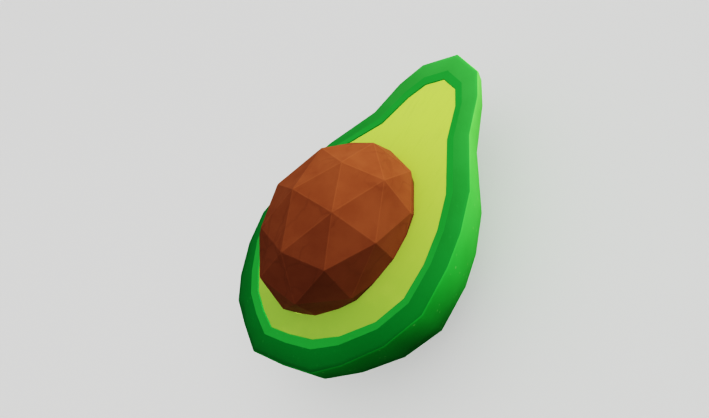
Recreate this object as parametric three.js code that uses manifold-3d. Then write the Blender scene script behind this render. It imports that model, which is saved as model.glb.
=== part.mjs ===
// Half an avocado lying on its back: skin, flesh and seed, cut face up.
// Millimetres, +Z up, +Y towards the stem end. The origin is the bottom centre of the whole part.
import * as THREE from 'three';
import { mergeVertices } from 'three/addons/utils/BufferGeometryUtils.js';
import Module from 'manifold-3d';

// Overall sizes of the half, at the outer edge of its skin.
const bodyLength = 106.4;
const bodyWidth = 69.2;
const bodyDepth = 28;

// How much less deep the back is just inside its edge, at the stem end and at the heel.
const stemShallow = 16;
const heelShallow = 8;

// Fullness of the back: 2 is an ellipse, more is squarer. The belly stands out past the edge of the
// cut, but hardly at all at the tip of the heel.
const backFullness = 2.6;
const bellyBulge = 2;

// Flat spot that the half rests on. It lies under the seed.
const restLength = 26;
const restWidth = 18;

// The cut edge of the skin, from the flesh to the crease, on each side and at the two ends.
const sideBand = 5.9;
const stemBand = 10.9;
const heelBand = 8.2;

// The band is a flat ring for this share, then a rounded rim that falls away to the crease. A rim
// with no even fall starts level with the ring, and one with an even fall of 1 is a straight bevel.
const ringShare = 0.3;
const rimDrop = 1.2;
const rimEvenFall = 0.35;

// Flesh in its skin.
const skinFloor = 3;
const fleshRecess = 0.3;
const fleshClearance = 0.45;

// Seed in its flesh. The cut passes just under the seed's middle.
const seedLength = 53;
const seedWidth = 40.6;
const seedRise = 2.1;
const seedHeelFlesh = 6.0;
const seedAside = 1;
const seedClearance = 0.35;
const seedTurn = 16;

// Rings of points from the edge down to the rest spot, and across the rim.
const backSteps = 7;
const rimSteps = 4;

// The two outlines, from the stem end to the heel, with one corner for one corner. Each corner is
// a share of the half width across, on both sides, and of the length along from the heel.
// The sway is how far the pair of corners leans to +X, also as a share of the half width.
const skinShape = [
  { across: 0, along: 1, sway: -0.04 },
  { across: 0.298, along: 0.948, sway: -0.033 },
  { across: 0.425, along: 0.869, sway: -0.017 },
  { across: 0.526, along: 0.751, sway: 0.02 },
  { across: 0.793, along: 0.609, sway: 0.02 },
  { across: 0.915, along: 0.508, sway: 0.009 },
  { across: 0.972, along: 0.426, sway: 0.004 },
  { across: 1, along: 0.308, sway: 0 },
  { across: 0.893, along: 0.208, sway: -0.008 },
  { across: 0.706, along: 0.118, sway: -0.02 },
  { across: 0.535, along: 0.062, sway: -0.02 },
  { across: 0.292, along: 0.03, sway: -0.035 },
  { across: 0, along: 0, sway: -0.07 },
];
const fleshShape = [
  { across: 0, along: 1, sway: 0.028 },
  { across: 0.191, along: 0.967, sway: 0.041 },
  { across: 0.306, along: 0.902, sway: 0.05 },
  { across: 0.431, along: 0.778, sway: 0.065 },
  { across: 0.786, along: 0.608, sway: 0.026 },
  { across: 0.92, along: 0.5, sway: 0.012 },
  { across: 0.988, along: 0.398, sway: 0.008 },
  { across: 1, along: 0.292, sway: 0.007 },
  { across: 0.893, along: 0.2, sway: 0.01 },
  { across: 0.665, along: 0.11, sway: 0.015 },
  { across: 0.459, along: 0.055, sway: 0 },
  { across: 0.22, along: 0.021, sway: -0.02 },
  { across: 0, along: 0, sway: -0.024 },
];

const cutZ = bodyDepth;
const stemY = bodyLength / 2;
const heelY = -stemY;
const fleshTopZ = cutZ - fleshRecess;
const seedY = heelY + heelBand + seedHeelFlesh + seedLength / 2;

const skinEdge = closedOutline(skinShape, bodyWidth, heelY, stemY);
const mouthEdge = closedOutline(fleshShape, bodyWidth - 2 * sideBand, heelY + heelBand, stemY - stemBand);
const fleshEdge = insetOutline(mouthEdge, fleshClearance);

// Both sides of an outline, anticlockwise from the stem end.
function closedOutline(shape, width, lowY, highY) {
  const halfWidth = width / 2;
  const corners = shape.map(({ across, along, sway }) => ({
    left: new THREE.Vector2((sway - across) * halfWidth, lowY + along * (highY - lowY)),
    right: new THREE.Vector2((sway + across) * halfWidth, lowY + along * (highY - lowY)),
  }));
  const leftSide = corners.map(({ left }) => left);
  const rightSide = corners.slice(1, -1).map(({ right }) => right);
  return [...leftSide, ...rightSide.reverse()];
}

function inwardNormal(from, to) {
  const side = to.clone().sub(from).normalize();
  return new THREE.Vector2(-side.y, side.x);
}

// An outline with each side moved in by the same distance.
function insetOutline(outline, distance) {
  const count = outline.length;
  return outline.map((corner, index) => {
    const normalBefore = inwardNormal(outline[(index + count - 1) % count], corner);
    const normalAfter = inwardNormal(corner, outline[(index + 1) % count]);
    const mitre = normalBefore.clone().add(normalAfter);
    mitre.divideScalar(1 + normalBefore.dot(normalAfter));
    return corner.clone().addScaledVector(mitre, distance);
  });
}

// A level ring of points between the mouth of the skin (share 0) and its outer edge (share 1).
function bandRing(share, z) {
  return mouthEdge.map((corner, index) => {
    const place = corner.clone().lerp(skinEdge[index], share);
    return new THREE.Vector3(place.x, place.y, z);
  });
}

function levelRing(outline, z) {
  return outline.map((corner) => new THREE.Vector3(corner.x, corner.y, z));
}

function smooth(share) {
  return share * share * (3 - 2 * share);
}

// What part of the full depth the back has just inside a corner of its edge.
function edgeDepthShare(corner) {
  const towardsStem = THREE.MathUtils.clamp((corner.y - seedY) / (stemY - seedY), 0, 1);
  const towardsHeel = THREE.MathUtils.clamp((corner.y - seedY) / (heelY - seedY), 0, 1);
  const lostDepth = stemShallow * smooth(towardsStem) + heelShallow * smooth(towardsHeel);
  return 1 - lostDepth / bodyDepth;
}

// What part of the bulge stands out in a direction from the middle of the seed.
function bulgeShare(outwards) {
  return outwards.y < 0 ? Math.sqrt(Math.abs(outwards.x)) : 1;
}

// Rings that close in on a rounded profile, from below an outline down to the flat rest spot.
function backRings(outline, topZ, floorZ, bulge) {
  const depth = topZ - floorZ;
  const rings = [];
  for (let step = 1; step <= backSteps; step += 1) {
    const angle = (Math.PI / 2) * (step / backSteps);
    const spread = step < backSteps ? Math.cos(angle) ** (2 / backFullness) : 0;
    const fall = Math.sin(angle) ** (2 / backFullness);
    rings.push(outline.map((corner) => {
      const outwards = new THREE.Vector2(corner.x, corner.y - seedY).normalize();
      const restCorner = new THREE.Vector2(
        outwards.x * restWidth / 2,
        seedY + outwards.y * restLength / 2,
      );
      const place = restCorner.lerp(corner, spread);
      place.addScaledVector(outwards, bulge * bulgeShare(outwards) * Math.sin(2 * angle));
      const depthShare = THREE.MathUtils.lerp(edgeDepthShare(corner), 1, smooth(1 - spread));
      return new THREE.Vector3(place.x, place.y, topZ - depth * depthShare * fall);
    }));
  }
  return rings;
}

// A closed solid through rings of the same count, capped flat at the first and the last ring.
function solidFromRings(rings) {
  const count = rings[0].length;
  const positions = rings.flat().flatMap((point) => [point.x, point.y, point.z]);
  const faces = [];
  for (let level = 0; level < rings.length - 1; level += 1) {
    const upper = level * count;
    const lower = upper + count;
    for (let side = 0; side < count; side += 1) {
      const next = (side + 1) % count;
      faces.push(upper + side, lower + side, lower + next);
      faces.push(upper + side, lower + next, upper + next);
    }
  }
  addCap(positions, faces, rings, 0);
  addCap(positions, faces, rings, rings.length - 1);
  return makeGeometry(positions, faces);
}

function addCap(positions, faces, rings, level) {
  const ring = rings[level];
  const start = level * ring.length;
  const hub = positions.length / 3;
  positions.push(0, seedY, ring[0].z);
  ring.forEach((point, side) => {
    const next = (side + 1) % ring.length;
    const [first, second] = level === 0 ? [side, next] : [next, side];
    faces.push(hub, start + first, start + second);
  });
}

function makeGeometry(positions, faces) {
  const geometry = new THREE.BufferGeometry();
  geometry.setAttribute('position', new THREE.Float32BufferAttribute(positions, 3));
  geometry.setIndex(faces);
  return geometry;
}

const wasm = await Module();
wasm.setup();

function manifoldFrom(geometry) {
  const vertProperties = new Float32Array(geometry.attributes.position.array);
  const triVerts = new Uint32Array(geometry.index.array);
  return new wasm.Manifold(new wasm.Mesh({ numProp: 3, vertProperties, triVerts }));
}

function geometryFrom(solid) {
  const mesh = solid.getMesh();
  return makeGeometry(Array.from(mesh.vertProperties), Array.from(mesh.triVerts));
}

// Rings across the rounded rim, which is steepest at the crease.
function rimRings() {
  const rings = [];
  for (let step = 0; step <= rimSteps; step += 1) {
    const share = step / rimSteps;
    const fall = rimDrop * THREE.MathUtils.lerp(share ** 2, share, rimEvenFall);
    rings.push(bandRing(THREE.MathUtils.lerp(ringShare, 1, share), cutZ - fall));
  }
  return rings;
}

function makeSkin() {
  const creaseZ = cutZ - rimDrop;
  const outside = [bandRing(0, cutZ), ...rimRings(), ...backRings(skinEdge, creaseZ, 0, bellyBulge)];
  const inside = [
    levelRing(mouthEdge, cutZ + skinFloor),
    levelRing(mouthEdge, fleshTopZ),
    ...backRings(mouthEdge, fleshTopZ, skinFloor, 0),
  ];
  return geometryFrom(manifoldFrom(solidFromRings(outside)).subtract(manifoldFrom(solidFromRings(inside))));
}

function makeFlesh() {
  const floorZ = skinFloor + fleshClearance;
  const rings = [levelRing(fleshEdge, fleshTopZ), ...backRings(fleshEdge, fleshTopZ, floorZ, 0)];
  return geometryFrom(manifoldFrom(solidFromRings(rings)).subtract(manifoldFrom(makeSeed(seedClearance))));
}

// The seed is a faceted egg: an icosahedron split once, stood on a corner along Y and stretched.
function makeSeed(clearance) {
  const egg = new THREE.IcosahedronGeometry(1, 1);
  const cornerFromZ = Math.atan2(1, (1 + Math.sqrt(5)) / 2);
  egg.rotateX(Math.PI / 2 + cornerFromZ);
  egg.rotateY(THREE.MathUtils.degToRad(seedTurn));
  const halfWidth = seedWidth / 2 + clearance;
  const halfLength = seedLength / 2 + clearance;
  egg.scale(halfWidth, halfLength, halfWidth);
  egg.translate(seedAside, seedY, fleshTopZ + seedRise);
  egg.deleteAttribute('normal');
  egg.deleteAttribute('uv');
  return mergeVertices(egg);
}

function makePiece(name, geometry, color, roughness) {
  geometry.computeVertexNormals();
  const material = new THREE.MeshStandardMaterial({ color, roughness, metalness: 0 });
  const piece = new THREE.Mesh(geometry, material);
  piece.name = name;
  return piece;
}

const avocadoHalf = new THREE.Group();
avocadoHalf.add(
  makePiece('skin', makeSkin(), 0x1f8a33, 0.45),
  makePiece('flesh', makeFlesh(), 0xb4cb50, 0.6),
  makePiece('seed', makeSeed(0), 0x86401f, 0.5),
);

// The outline leans a little and the belly stands out past it, so the whole is centred once it is
// made.
const middle = new THREE.Box3().setFromObject(avocadoHalf).getCenter(new THREE.Vector3());
avocadoHalf.position.set(-middle.x, -middle.y, 0);

export default avocadoHalf;
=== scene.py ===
import math

import bpy
from mathutils import Matrix, Vector


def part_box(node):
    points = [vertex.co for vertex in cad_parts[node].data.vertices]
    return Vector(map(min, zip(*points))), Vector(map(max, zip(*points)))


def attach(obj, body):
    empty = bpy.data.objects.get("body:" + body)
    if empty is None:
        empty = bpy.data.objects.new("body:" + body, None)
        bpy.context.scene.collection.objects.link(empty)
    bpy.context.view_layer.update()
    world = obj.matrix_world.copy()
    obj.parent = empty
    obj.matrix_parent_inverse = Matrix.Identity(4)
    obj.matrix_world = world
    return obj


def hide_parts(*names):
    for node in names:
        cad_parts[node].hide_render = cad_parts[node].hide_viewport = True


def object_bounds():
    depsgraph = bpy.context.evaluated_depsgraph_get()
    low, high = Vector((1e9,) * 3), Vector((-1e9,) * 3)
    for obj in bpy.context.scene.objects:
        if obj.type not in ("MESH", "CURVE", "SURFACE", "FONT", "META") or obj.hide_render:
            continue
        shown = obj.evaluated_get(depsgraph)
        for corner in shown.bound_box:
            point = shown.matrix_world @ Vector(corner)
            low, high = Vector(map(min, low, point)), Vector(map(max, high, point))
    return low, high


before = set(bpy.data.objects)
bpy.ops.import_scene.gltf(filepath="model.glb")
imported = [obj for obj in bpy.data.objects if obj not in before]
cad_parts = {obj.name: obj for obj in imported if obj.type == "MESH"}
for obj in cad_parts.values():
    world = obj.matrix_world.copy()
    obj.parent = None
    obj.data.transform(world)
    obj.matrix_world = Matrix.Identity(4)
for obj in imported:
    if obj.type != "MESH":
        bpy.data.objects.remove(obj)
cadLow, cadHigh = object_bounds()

millimetre = 0.001
mergeWithin = 0.001 * millimetre
levelFrom = 0.999                          # the upward part of a face's normal, from which it is level
selectModes = {"vertices": "VERT", "edges": "EDGE", "polygons": "FACE"}


# helpers for working in edit mode

def makeActive(piece):
    if bpy.context.object and bpy.context.object.mode != "OBJECT":
        bpy.ops.object.mode_set(mode="OBJECT")
    bpy.ops.object.select_all(action="DESELECT")
    piece.select_set(True)
    bpy.context.view_layer.objects.active = piece


def startEditing(piece, selectMode="FACE"):
    makeActive(piece)
    bpy.ops.object.mode_set(mode="EDIT")
    bpy.ops.mesh.select_mode(type=selectMode)
    bpy.ops.mesh.select_all(action="DESELECT")


def pick(piece, kind, wanted):
    # selects only the vertices, edges or polygons that pass a test
    bpy.ops.object.mode_set(mode="OBJECT")
    mesh = piece.data
    for group in (mesh.vertices, mesh.edges, mesh.polygons):
        group.foreach_set("select", [False] * len(group))
    for element in getattr(mesh, kind):
        element.select = bool(wanted(element))
    bpy.ops.object.mode_set(mode="EDIT")
    bpy.ops.mesh.select_mode(type=selectModes[kind])


def pickSeam(piece, oneSide, otherSide):
    # selects the edges between faces that pass one test and faces that pass the other
    bpy.ops.object.mode_set(mode="OBJECT")
    faces = piece.data.polygons
    first = {key for face in faces if oneSide(face) for key in face.edge_keys}
    second = {key for face in faces if otherSide(face) for key in face.edge_keys}
    pick(piece, "edges", lambda edge: edge.key in first and edge.key in second)


def facesUp(face):
    return face.normal.z > levelFrom


def giveSlot(piece, slot, wanted):
    # gives a material slot to the faces that pass a test
    pick(piece, "polygons", wanted)
    piece.active_material_index = slot
    bpy.ops.object.material_slot_assign()


def copyOfNode(node, name):
    # a piece of its own with the CAD node's shape, its loose triangles joined
    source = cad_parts[node]
    piece = source.copy()
    piece.data = source.data.copy()
    piece.name = name
    piece.data.name = name
    piece.data.materials.clear()
    for key in list(piece.keys()):
        del piece[key]
    bpy.context.scene.collection.objects.link(piece)
    piece.parent = None
    makeActive(piece)
    bpy.ops.mesh.customdata_custom_splitnormals_clear()
    startEditing(piece, "VERT")
    bpy.ops.mesh.select_all(action="SELECT")
    bpy.ops.mesh.remove_doubles(threshold=mergeWithin)
    bpy.ops.mesh.mark_sharp(clear=True)
    bpy.ops.object.mode_set(mode="OBJECT")
    return piece


def smoothByArea(piece):
    # broad faces keep their own shading, and only the narrow ones between them turn
    makeActive(piece)
    bpy.ops.object.shade_smooth()
    modifier = piece.modifiers.new("areaNormals", "WEIGHTED_NORMAL")
    modifier.mode = "FACE_AREA"
    modifier.weight = 100                  # the most that area can count
    modifier.keep_sharp = True
    bpy.ops.object.modifier_apply(modifier=modifier.name)


def fitPiece(piece, node):
    # the finished piece rides the one body and stands for its CAD node
    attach(piece, "root")
    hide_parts(node)
    print(piece.name, "made:", len(piece.data.polygons), "faces")


# shader sums written as expressions

class Wire:
    def __init__(self, socket):
        self.socket = socket

    def node(self, kind, settings=None, sockets=None, output=0):
        # any node: its settings first, then values or wires for its sockets
        tree = self.socket.id_data
        made = tree.nodes.new("ShaderNode" + kind)
        for name, value in (settings or {}).items():
            setattr(made, name, value)
        for name, value in (sockets or {}).items():
            if isinstance(value, Wire):
                tree.links.new(value.socket, made.inputs[name])
            else:
                made.inputs[name].default_value = value
        return Wire(made.outputs[output])

    def maths(self, operation, first, second):
        return self.node("Math", {"operation": operation}, {0: first, 1: second})

    def __add__(self, other):
        return self.maths("ADD", self, other)

    def __radd__(self, other):
        return self.maths("ADD", other, self)

    def __sub__(self, other):
        return self.maths("SUBTRACT", self, other)

    def __rsub__(self, other):
        return self.maths("SUBTRACT", other, self)

    def __mul__(self, other):
        return self.maths("MULTIPLY", self, other)

    def __rmul__(self, other):
        return self.maths("MULTIPLY", other, self)

    def between(self, low, high):
        # 0 at low and 1 at high, eased
        return self.node("MapRange", {"interpolation_type": "SMOOTHSTEP"},
                         {"Value": self, "From Min": low, "From Max": high})

    def noise(self, scale, detail):
        # cloudy patches, even along all three axes; scale is in patches per metre
        return self.node("TexNoise", None, {"Vector": self, "Scale": scale, "Detail": detail})

    def cells(self, scale, feature="F1"):
        # scattered cells, scale of them per metre; 0 at their middles, or at their borders
        return self.node("TexVoronoi", {"feature": feature}, {"Vector": self, "Scale": scale})

    def stretched(self, stretch):
        # the same place with each axis scaled, so that a pattern runs longer along one of them
        return self.node("Mapping", None, {"Vector": self, "Scale": stretch})

    def bump(self, strength, depth):
        # these heights as a tilt of the surface; depth is the height of 1
        return self.node("Bump", None, {"Height": self, "Strength": strength, "Distance": depth})

    def tint(self, fromColour, toColour, blend="MIX"):
        # this share of the way from one colour to another, which are the mix's sockets 6 and 7
        return self.node("Mix", {"data_type": "RGBA", "blend_type": blend},
                         {0: self, 6: fromColour, 7: toColour}, 2)


def startMaterial(name, plain):
    # a Principled material whose even values are set straight on the shader
    material = bpy.data.materials.new(name)
    material.use_nodes = True
    shader = material.node_tree.nodes["Principled BSDF"]
    for socket, value in plain.items():
        shader.inputs[socket].default_value = value
    place = material.node_tree.nodes.new("ShaderNodeTexCoord").outputs["Object"]
    return material, shader, Wire(place)


def plug(shader, wires):
    for socket, wire in wires.items():
        shader.id_data.links.new(wire.socket, shader.inputs[socket])


def colour(red, green, blue):
    return (red, green, blue, 1.0)


# seed: a faceted egg that stands out of the cut

seedLook = {
    "splits": 2,                           # 80 facets
    "turn": 34,                            # degrees round its long axis
    "edgeWidth": 0.16 * millimetre,
    "edgeSteps": 2,
    "coat": colour(0.246, 0.079, 0.031),
    "darkCoat": colour(0.212, 0.065, 0.025),
    # painted highlight: the bevelled edges are a little lighter than the coat
    "edgeHighlight": colour(0.265, 0.086, 0.034),
    "mottlePatches": (140, 5),             # patches per metre and their detail, here and below
    "mottleFade": (0.30, 0.70),
    "mottleHeight": 0.6,
    "vein": colour(0.130, 0.040, 0.015),
    "veinShare": 0.25,
    "veinCells": 150,
    "veinStretch": (1, 0.35, 1),           # the veins run along the seed
    "veinSway": 5 * millimetre,
    "swayPatches": 160,
    "veinWidth": 0.06,
    "veinPatches": (90, 3),                # where they show and where they fade out
    "veinFade": (0.40, 0.62),
    "veinDepth": 0.5,
    "grainPatches": (1500, 4),
    "grainDepth": 0.05 * millimetre,
    "roughness": 0.52,
    "roughnessSpread": 0.22,
    "gloss": 0.06,
    "bump": 0.25,
}


def fitToBox(piece, low, high):
    # stretches the mesh being edited about its middle, then moves it, so that it fills the box
    piece.update_from_editmode()
    points = [vertex.co for vertex in piece.data.vertices]
    ownLow = Vector([min(point[axis] for point in points) for axis in range(3)])
    ownHigh = Vector([max(point[axis] for point in points) for axis in range(3)])
    stretch = [(high[axis] - low[axis]) / (ownHigh[axis] - ownLow[axis]) for axis in range(3)]
    ownMiddle = (ownLow + ownHigh) / 2
    bpy.ops.transform.resize(value=stretch, center_override=ownMiddle)
    bpy.ops.transform.translate(value=(low + high) / 2 - ownMiddle)


def makeSeed():
    middle = (0, 0, 0)
    bpy.ops.mesh.primitive_ico_sphere_add(subdivisions=seedLook["splits"], location=middle)
    seed = bpy.context.object
    seed.name = "avocadoSeed"
    seed.data.name = "avocadoSeed"
    seed.data.materials.append(seedMaterial("seedCoat", seedLook["coat"], seedLook["darkCoat"]))
    # painted highlight: the bevelled edges get their own, lighter coat
    seed.data.materials.append(seedMaterial("seedEdgeHighlight", seedLook["edgeHighlight"], seedLook["coat"]))
    edgeSlot = len(seed.data.materials) - 1
    startEditing(seed)
    bpy.ops.mesh.select_all(action="SELECT")
    # laid down with a corner at each end of the fruit, then turned about that line
    bpy.ops.transform.rotate(value=math.radians(-90), orient_axis="X", center_override=middle)
    turn = math.radians(-seedLook["turn"])
    bpy.ops.transform.rotate(value=turn, orient_axis="Y", center_override=middle)
    fitToBox(seed, *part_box("seed"))
    bpy.ops.mesh.select_mode(type="EDGE")
    bpy.ops.mesh.select_all(action="SELECT")
    bpy.ops.mesh.bevel(offset=seedLook["edgeWidth"], segments=seedLook["edgeSteps"],
                       affect="EDGES", material=edgeSlot)
    bpy.ops.object.mode_set(mode="OBJECT")
    smoothByArea(seed)
    fitPiece(seed, "seed")


def seedMaterial(name, coat, darkCoat):
    look = seedLook
    material, shader, place = startMaterial(name, {"Specular IOR Level": look["gloss"]})
    mottle = place.noise(*look["mottlePatches"])
    sway = place.node("TexNoise", None, {"Vector": place, "Scale": look["swayPatches"]}, 1)
    swayed = place.node("VectorMath", {"operation": "MULTIPLY_ADD"},
                        {0: sway, 1: [look["veinSway"]] * 3, 2: place.stretched(look["veinStretch"])})
    border = swayed.cells(look["veinCells"], "DISTANCE_TO_EDGE")
    showing = place.noise(*look["veinPatches"]).between(*look["veinFade"])
    vein = (1 - border.between(0, look["veinWidth"])) * showing
    blotch = mottle.between(*look["mottleFade"]).tint(coat, darkCoat)
    grain = place.noise(*look["grainPatches"])
    height = grain + mottle * look["mottleHeight"] - vein * look["veinDepth"]
    plug(shader, {
        "Base Color": (vein * look["veinShare"]).tint(blotch, look["vein"]),
        "Roughness": look["roughness"] + mottle * look["roughnessSpread"],
        "Normal": height.bump(look["bump"], look["grainDepth"]),
    })
    return material


# flesh: fills the skin up to the cut and holds the seed

fleshLook = {
    "closeUp": 0.26 * millimetre,          # how far it swells to meet the skin and the seed
    "edgeCloseUp": 0.22 * millimetre,      # and again at the edge of the cut
    "hollowShare": 1.06,                   # the hollow's edge, as a share of the seed's box
    "flatWithin": 0.1,                     # degrees between faces that are joined into one
    "edgeWidth": 0.10 * millimetre,
    "edgeSteps": 2,
    "smoothUnder": 40,                     # degrees
    # painted light: the flesh is coloured lighter at the stem end, where the key light comes from, and
    # darker at the heel
    "litStemEnd": colour(0.580, 0.795, 0.126),
    "heel": colour(0.262, 0.424, 0.069),
    "cloud": colour(0.520, 0.650, 0.135),
    "cloudShare": 0.16,
    "cloudPatches": (110, 4),
    "cloudFade": (0.42, 0.72),
    "cloudRoughness": 0.20,
    "fibre": colour(0.300, 0.520, 0.060),
    "fibreShare": 0.12,
    "fibrePatches": (900, 4),
    "fibreStretch": (1, 0.12, 1),          # the fibres run along the fruit
    "fibreFade": (0.50, 0.75),
    "fibreRoughness": 0.12,
    "fibreDepth": 0.06 * millimetre,
    "grainPatches": (2200, 3),
    "grainHeight": 0.5,
    "roughness": 0.48,
    "gloss": 0.14,
    "bump": 0.20,
}


def outsideSeed(point):
    # true past the edge of the hollow, seen from above
    low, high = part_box("seed")
    share = [(2 * point[axis] - low[axis] - high[axis]) / (high[axis] - low[axis]) for axis in range(2)]
    return math.hypot(*share) > fleshLook["hollowShare"]


def makeFlesh():
    flesh = copyOfNode("flesh", "avocadoFlesh")
    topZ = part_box("flesh")[1].z
    flesh.data.materials.append(fleshMaterial())
    startEditing(flesh, "VERT")
    bpy.ops.mesh.select_all(action="SELECT")
    bpy.ops.transform.shrink_fatten(value=fleshLook["closeUp"], use_even_offset=True)
    raisedZ = topZ + fleshLook["closeUp"] / 2
    pick(flesh, "vertices", lambda vertex: vertex.co.z > raisedZ and outsideSeed(vertex.co))
    bpy.ops.transform.shrink_fatten(value=fleshLook["edgeCloseUp"])
    pick(flesh, "vertices", lambda vertex: vertex.co.z > raisedZ)
    bpy.ops.transform.resize(value=(1, 1, 0), center_override=(0, 0, topZ))
    pick(flesh, "polygons", facesUp)
    bpy.ops.mesh.dissolve_limited(angle_limit=math.radians(fleshLook["flatWithin"]))
    pickSeam(flesh, facesUp, lambda face: not facesUp(face))
    bpy.ops.mesh.bevel(offset=fleshLook["edgeWidth"], segments=fleshLook["edgeSteps"], affect="EDGES")
    pickSeam(flesh, facesUp, lambda face: not facesUp(face))
    bpy.ops.mesh.mark_sharp()
    bpy.ops.object.mode_set(mode="OBJECT")
    bpy.ops.object.shade_smooth_by_angle(angle=math.radians(fleshLook["smoothUnder"]))
    fitPiece(flesh, "flesh")


def fleshMaterial():
    look = fleshLook
    material, shader, place = startMaterial("softFlesh", {"Specular IOR Level": look["gloss"]})
    low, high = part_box("flesh")
    # painted light: the colour runs from the heel's darker shade to the stem end's lit colour along the
    # fruit
    along = place.node("SeparateXYZ", None, {0: place}, 1)
    paintedLightColour = along.between(low.y, high.y).tint(look["heel"], look["litStemEnd"])
    cloud = place.noise(*look["cloudPatches"])
    fibre = place.stretched(look["fibreStretch"]).noise(*look["fibrePatches"])
    clouding = cloud.between(*look["cloudFade"]) * look["cloudShare"]
    streaking = fibre.between(*look["fibreFade"]) * look["fibreShare"]
    grain = place.noise(*look["grainPatches"])
    plug(shader, {
        "Base Color": streaking.tint(clouding.tint(paintedLightColour, look["cloud"]), look["fibre"]),
        "Roughness": (look["roughness"] + cloud * look["cloudRoughness"]
                      + fibre * look["fibreRoughness"]),
        "Normal": (fibre + grain * look["grainHeight"]).bump(look["bump"], look["fibreDepth"]),
    })
    return material


# skin: a thick green rind with a flat ring, a rounded rim and a peel over the back

skinLook = {
    "rimDrop": 1.2 * millimetre,           # from the flat ring down to the crease
    "slack": 0.02 * millimetre,            # room for a height that is a little off
    "rimFacesUp": 0.5,                     # the upward part of a rim face's normal, at the least
    "wallFacesUp": 0.9,                    # and of a wall face's, at the most
    "creaseWidth": 0.30 * millimetre,
    "creaseSteps": 1,
    "mouthWidth": 0.10 * millimetre,
    "mouthSteps": 3,
    "smoothUnder": 60,                     # degrees
    "paintedLitSide": (0.30, 0.95, 0.0),          # the side the key light comes from, towards which the colour is painted lighter
    "paintedLightSpan": (-25 * millimetre, 60 * millimetre),  # where the painted light starts and ends along that way
    "mottle": colour(0.62, 0.76, 0.66),
    "mottlePatches": (85, 5),
    "mottleFade": (0.35, 0.70),
    "speckCells": 420,
    "speckSize": (0.08, 0.20),
    "speckPatches": (260, 3),              # where the specks show and where they fade out
    "speckFade": (0.42, 0.58),
    "speckHeight": 0.4,
    "pebbleCells": 800,
    "pebbleDepth": 0.10 * millimetre,
    "grainPatches": (1800, 3),
    "grainHeight": 0.3,
    "roughnessSpread": 0.20,
}
peelLook = {
    # painted light and sheen: the peel is a deep green on the shaded side, and lighter and paler on the
    # lit side
    "shadeSide": colour(0.004, 0.345, 0.045),
    "paintedLitSide": colour(0.195, 0.740, 0.130),
    "mottleShare": 0.40,
    "speck": colour(0.260, 0.640, 0.170),
    "speckShare": 0.40,
    "roughness": 0.46,
    "gloss": 0.10,
    "bump": 0.22,
}
rindLook = {
    # painted light: the cut ring is a little lighter on the lit side
    "shadeSide": colour(0.030, 0.310, 0.054),
    "paintedLitSide": colour(0.034, 0.330, 0.056),
    "mottleShare": 0.20,
    "speck": colour(0.060, 0.380, 0.080),
    "speckShare": 0.15,
    "roughness": 0.52,
    "gloss": 0.05,
    "bump": 0.12,
}
rimLook = {
    # painted light: the rim is near black-green on the shaded side and lighter on the lit side
    "shadeSide": colour(0.001, 0.175, 0.030),
    "paintedLitSide": colour(0.066, 0.368, 0.070),
    "mottleShare": 0.30,
    "speck": colour(0.050, 0.330, 0.070),
    "speckShare": 0.22,
    "roughness": 0.48,
    "gloss": 0.06,
    "bump": 0.18,
}


def makeSkin():
    skin = copyOfNode("skin", "avocadoSkin")
    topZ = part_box("skin")[1].z
    creaseZ = topZ - skinLook["rimDrop"]
    slack = skinLook["slack"]
    skin.data.materials.append(greenMaterial("greenPeel", peelLook))
    skin.data.materials.append(greenMaterial("paleRind", rindLook))
    skin.data.materials.append(greenMaterial("darkRim", rimLook))
    peel, ring, rim = range(3)
    startEditing(skin)
    rimFacesUp, wallFacesUp = skinLook["rimFacesUp"], skinLook["wallFacesUp"]
    giveSlot(skin, rim, lambda face: face.normal.z > rimFacesUp and face.center.z > creaseZ)
    giveSlot(skin, ring, lambda face: facesUp(face) and face.center.z > topZ - slack)
    pickSeam(skin, lambda face: face.material_index == ring, lambda face: face.material_index == rim)
    bpy.ops.mesh.mark_sharp()
    bpy.ops.mesh.select_all(action="SELECT")
    bpy.ops.mesh.tris_convert_to_quads(face_threshold=math.pi, shape_threshold=math.pi,
                                       sharp=True, materials=True)
    pickSeam(skin, lambda face: face.material_index == rim, lambda face: face.material_index == peel)
    bpy.ops.mesh.bevel(offset=skinLook["creaseWidth"], segments=skinLook["creaseSteps"],
                       affect="EDGES", material=peel)
    pickSeam(skin, lambda face: face.material_index == ring, lambda face: face.material_index == peel)
    bpy.ops.mesh.bevel(offset=skinLook["mouthWidth"], segments=skinLook["mouthSteps"], affect="EDGES")
    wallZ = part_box("flesh")[1].z - slack   # the wall above the flesh is cut rind too
    giveSlot(skin, ring, lambda face: face.normal.z < wallFacesUp and face.center.z > wallZ)
    pickSeam(skin, facesUp, lambda face: not facesUp(face))
    bpy.ops.mesh.mark_sharp()
    bpy.ops.object.mode_set(mode="OBJECT")
    bpy.ops.object.shade_smooth_by_angle(angle=math.radians(skinLook["smoothUnder"]))
    fitPiece(skin, "skin")


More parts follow.
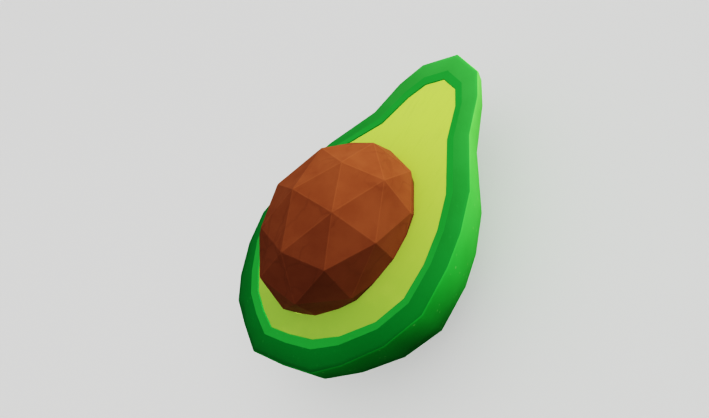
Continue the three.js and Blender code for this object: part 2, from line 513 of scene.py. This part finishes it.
def greenMaterial(name, look):
    material, shader, place = startMaterial(name, {"Specular IOR Level": look["gloss"]})
    # painted light: the colour goes from the shaded side's to the lit side's along the way the key
    # light comes from
    towardsLight = place.node("VectorMath", {"operation": "DOT_PRODUCT"},
                            {0: place, 1: skinLook["paintedLitSide"]}, 1)
    paintedLightColour = towardsLight.between(*skinLook["paintedLightSpan"]).tint(look["shadeSide"], look["paintedLitSide"])
    mottle = place.noise(*skinLook["mottlePatches"])
    mottling = mottle.between(*skinLook["mottleFade"]) * look["mottleShare"]
    mottled = mottling.tint(paintedLightColour, skinLook["mottle"], "MULTIPLY")
    showing = place.noise(*skinLook["speckPatches"]).between(*skinLook["speckFade"])
    speck = (1 - place.cells(skinLook["speckCells"]).between(*skinLook["speckSize"])) * showing
    pebble = place.cells(skinLook["pebbleCells"], "SMOOTH_F1")
    grain = place.noise(*skinLook["grainPatches"])
    height = speck * skinLook["speckHeight"] + grain * skinLook["grainHeight"] - pebble
    plug(shader, {
        "Base Color": (speck * look["speckShare"]).tint(mottled, look["speck"]),
        "Roughness": look["roughness"] + mottle * skinLook["roughnessSpread"],
        "Normal": height.bump(look["bump"], skinLook["pebbleDepth"]),
    })
    return material


# floor, backdrop, light and camera

studio = {
    "floorSize": 6.0,
    "floor": {
        "Base Color": colour(0.80, 0.80, 0.79),
        "Roughness": 0.9,
        "Specular IOR Level": 0.1,
    },
    "backdropRadius": 3.0,
    "backdropSegments": 48,
    "backdropRings": 24,
    "backdrop": {
        "Base Color": colour(0, 0, 0),
        "Roughness": 1,
        "Emission Color": colour(1.20, 1.20, 1.18),
        "Emission Strength": 1,
    },
    "levelLight": 0.26,                     # the sky's light at eye level
    "skyRise": 0.84,                        # how much brighter it is straight above
    "lowLight": 0.03,                       # and the least of it, from below
    "keyDirection": (0.226, 0.922, 0.314),  # from the stem end, low over the cut
    "keyStrength": 6.8,
    "keySpread": 30,                        # degrees across
}
grade = {
    "numerator": (1.0, 0.0246, -0.0001),    # a film-like curve with a deep toe and a soft shoulder
    "denominator": (0.984, 0.433, 0.238),
    "stops": (0.05, 0.10, 0.20, 0.35, 0.60, 1.0, 1.5),
    "whitest": 2.0,
}
viewpoint = {
    "lens": 20.56,
    "azimuth": 77.13,                      # degrees, as are the next two
    "elevation": 46.56,
    "roll": -46.47,
    "distance": 0.1146,
    "target": (0.0004, -0.0056, 0.0280),   # level with the cut, inside the seed
    "nearest": 0.005,                      # what is nearer or farther isn't drawn
    "farthest": 50,
}


def quadratic(terms, light):
    square, straight, constant = terms
    return square * light ** 2 + straight * light + constant


def filmValue(light):
    return max(0, quadratic(grade["numerator"], light) / quadratic(grade["denominator"], light))


def makeGrade():
    settings = bpy.context.scene.view_settings
    settings.view_transform = "Standard"
    settings.use_curve_mapping = True
    mapping = settings.curve_mapping
    mapping.clip_max_x = grade["whitest"]
    mapping.extend = "EXTRAPOLATED"
    points = mapping.curves[3].points      # the curve that all three colours share
    points[1].location = (grade["whitest"], filmValue(grade["whitest"]))
    for light in grade["stops"]:
        points.new(light, filmValue(light))
    mapping.update()


def makeStage():
    bpy.ops.mesh.primitive_plane_add(size=studio["floorSize"], location=(0, 0, cadLow.z))
    floor = bpy.context.object
    floor.name = "paleFloor"
    floor.data.materials.append(startMaterial("paleFloor", studio["floor"])[0])
    floor.visible_diffuse = False          # it throws no light back up on the skin
    floor.visible_glossy = False
    bpy.ops.mesh.primitive_uv_sphere_add(segments=studio["backdropSegments"],
                                         ring_count=studio["backdropRings"],
                                         radius=studio["backdropRadius"])
    backdrop = bpy.context.object
    backdrop.name = "paleBackdrop"
    backdrop.data.materials.append(startMaterial("paleBackdrop", studio["backdrop"])[0])
    backdrop.visible_diffuse = False
    backdrop.visible_glossy = False
    backdrop.visible_shadow = False


def makeLight():
    # a sky that brightens upwards, and one soft lamp
    world = bpy.data.worlds.new("softStudio")
    bpy.context.scene.world = world
    world.use_nodes = True
    nodes = world.node_tree.nodes
    sky = Wire(nodes.new("ShaderNodeTexCoord").outputs["Generated"])
    height = sky.node("SeparateXYZ", None, {0: sky}, 2)
    light = sky.maths("MAXIMUM", height * studio["skyRise"] + studio["levelLight"], studio["lowLight"])
    world.node_tree.links.new(light.socket, nodes["Background"].inputs["Strength"])
    nodes["Background"].inputs["Color"].default_value = colour(1, 1, 1)
    bpy.ops.object.light_add(type="SUN", location=(0, 0, 1))
    key = bpy.context.object
    key.name = "keyLamp"
    key.rotation_euler = Vector(studio["keyDirection"]).to_track_quat("Z", "Y").to_euler()
    key.data.energy = studio["keyStrength"]
    key.data.angle = math.radians(studio["keySpread"])
    key.data.use_shadow = False            # the seed leaves no shadow on the flesh
    key.visible_glossy = False             # and no glare on what lies nearly edge on


def makeCamera():
    azimuth = math.radians(viewpoint["azimuth"])
    elevation = math.radians(viewpoint["elevation"])
    level = math.cos(elevation)
    back = Vector((math.sin(azimuth) * level, -math.cos(azimuth) * level, math.sin(elevation)))
    place = Vector(viewpoint["target"]) + back * viewpoint["distance"]
    bpy.ops.object.camera_add(location=place)
    camera = bpy.context.object
    roll = Matrix.Rotation(math.radians(viewpoint["roll"]), 3, "Z")
    camera.rotation_euler = (back.to_track_quat("Z", "Y").to_matrix() @ roll).to_euler()
    camera.data.lens = viewpoint["lens"]
    camera.data.clip_start = viewpoint["nearest"]
    camera.data.clip_end = viewpoint["farthest"]
    bpy.context.scene.camera = camera


makeGrade()
makeCamera()
makeStage()
makeLight()
print("studio ready")
makeSkin()
makeFlesh()
makeSeed()
